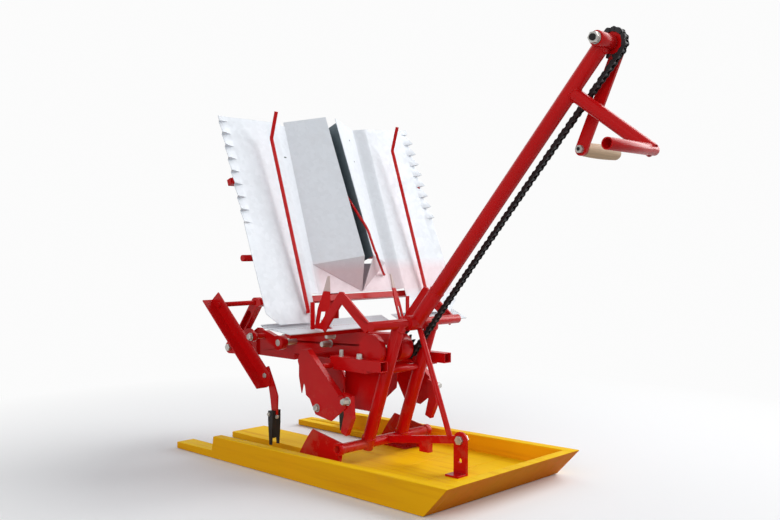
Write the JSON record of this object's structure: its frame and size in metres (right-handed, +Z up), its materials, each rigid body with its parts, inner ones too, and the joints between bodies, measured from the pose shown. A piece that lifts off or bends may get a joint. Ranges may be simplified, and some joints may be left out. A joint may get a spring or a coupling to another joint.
{
  "type": "rice seeder",
  "caption": "Hand-cranked rice seeder: a leaning two-bay seedling tray and planting arms with forked claws on a wooden float, driven by a roller chain along a long handle.",
  "frame": {"origin": "on the sole of the float in its middle plane, straight below the axis of the lower cross tube", "axes": "+X towards the bow of the float, the handle and the operator, +Y towards the side of the chain and the hand crank, +Z up"},
  "size_m": [1.2085, 0.621, 0.8833],
  "materials": {
    "wood_yellow": "painted",
    "red_paint": "gloss",
    "black_steel": "oiled",
    "bare_steel": "zinc plated",
    "galvanised": "galvanised",
    "pale_wood": "bare"
  },
  "bodies": {
    "frame": {"float_planks": "wood_yellow", "float_side_boards": "wood_yellow", "float_bow_board": "wood_yellow", "float_deck": "wood_yellow", "lower_cross_tube": "red_paint", "heel_plates": "red_paint", "uprights": "red_paint", "upright_spacers": "red_paint", "upper_cross_tube": "red_paint", "handle_socket": "red_paint", "handle_tube": "red_paint", "crank_bearing": "red_paint", "handle_branch": "red_paint", "grip_bar": "red_paint", "bow_bracket": "red_paint", "draft_arm": "red_paint", "stay_rod": "red_paint", "chain_case": "red_paint", "case_cross_bars": "red_paint", "tail_beam": "red_paint", "rocker_lugs": "red_paint", "drive_shield": "red_paint", "guard_shelves": "red_paint", "guard_tubes": "red_paint", "row_guards_inner": "red_paint", "row_guards_outer": "red_paint", "guard_spacers": "red_paint", "guard_feet": "red_paint", "gate_beam": "red_paint", "gate_brackets": "red_paint", "gate_leaves": "red_paint", "tray_rail": "red_paint", "tray_mast": "red_paint", "roller_chain": "black_steel", "draft_pivot_bolt": "bare_steel", "rocker_pin": "bare_steel", "gate_plate": "galvanised"},
    "hand_crank": {"crank_sprocket": "black_steel", "crank_axle": "bare_steel", "crank_arm": "red_paint", "crank_grip_pin": "bare_steel", "crank_grip": "pale_wood"},
    "main_shaft": {"main_shaft": "bare_steel", "drive_sprocket": "black_steel", "shaft_drum": "red_paint"},
    "planting_crank_shaft": {"planting_shaft": "bare_steel", "planting_cranks": "red_paint"},
    "rocker": {"rocker": "red_paint"},
    "planting_arms": {"arm_rod": "red_paint", "arm_bars": "red_paint", "claw_shanks": "red_paint", "claws": "black_steel"},
    "tray": {"tray_sheet_near": "galvanised", "tray_sheet_far": "galvanised", "tray_lower_panel": "galvanised", "tray_spine": "black_steel", "tray_bars": "red_paint", "tray_hangers": "red_paint", "press_rods": "red_paint", "tray_stay": "red_paint"}
  },
  "joints": [
    {"name": "hand_crank_turn", "type": "hinge", "parent": "frame", "child": "hand_crank", "pos_m": [0.54621, 0, 0.85444], "axis": [0, 1, 0], "continuous": true},
    {"name": "main_shaft_turn", "type": "hinge", "parent": "frame", "child": "main_shaft", "pos_m": [0.04, 0, 0.268], "axis": [0, 1, 0], "continuous": true},
    {"name": "planting_crank_turn", "type": "hinge", "parent": "frame", "child": "planting_crank_shaft", "pos_m": [-0.282, 0, 0.258], "axis": [0, 1, 0], "continuous": true},
    {"name": "rocker_swing", "type": "hinge", "parent": "frame", "child": "rocker", "pos_m": [-0.545, 0, 0.222], "axis": [0, 1, 0], "range_deg": [-6, 0]},
    {"name": "planting_arm_swing", "type": "hinge", "parent": "rocker", "child": "planting_arms", "pos_m": [-0.452, 0, 0.342], "axis": [0, 1, 0], "range_deg": [-45, 0]},
    {"name": "tray_slide", "type": "slide", "parent": "frame", "child": "tray", "axis": [0, 1, 0], "range_m": [-0.134, 0.046]}
  ],
  "couplings": [
    {"joint": "main_shaft_turn", "follows": "hand_crank_turn", "ratio": 1},
    {"joint": "planting_crank_turn", "follows": "hand_crank_turn", "ratio": 1},
    {"joint": "rocker_swing", "follows": "planting_arm_swing", "ratio": 0.13333}
  ]
}
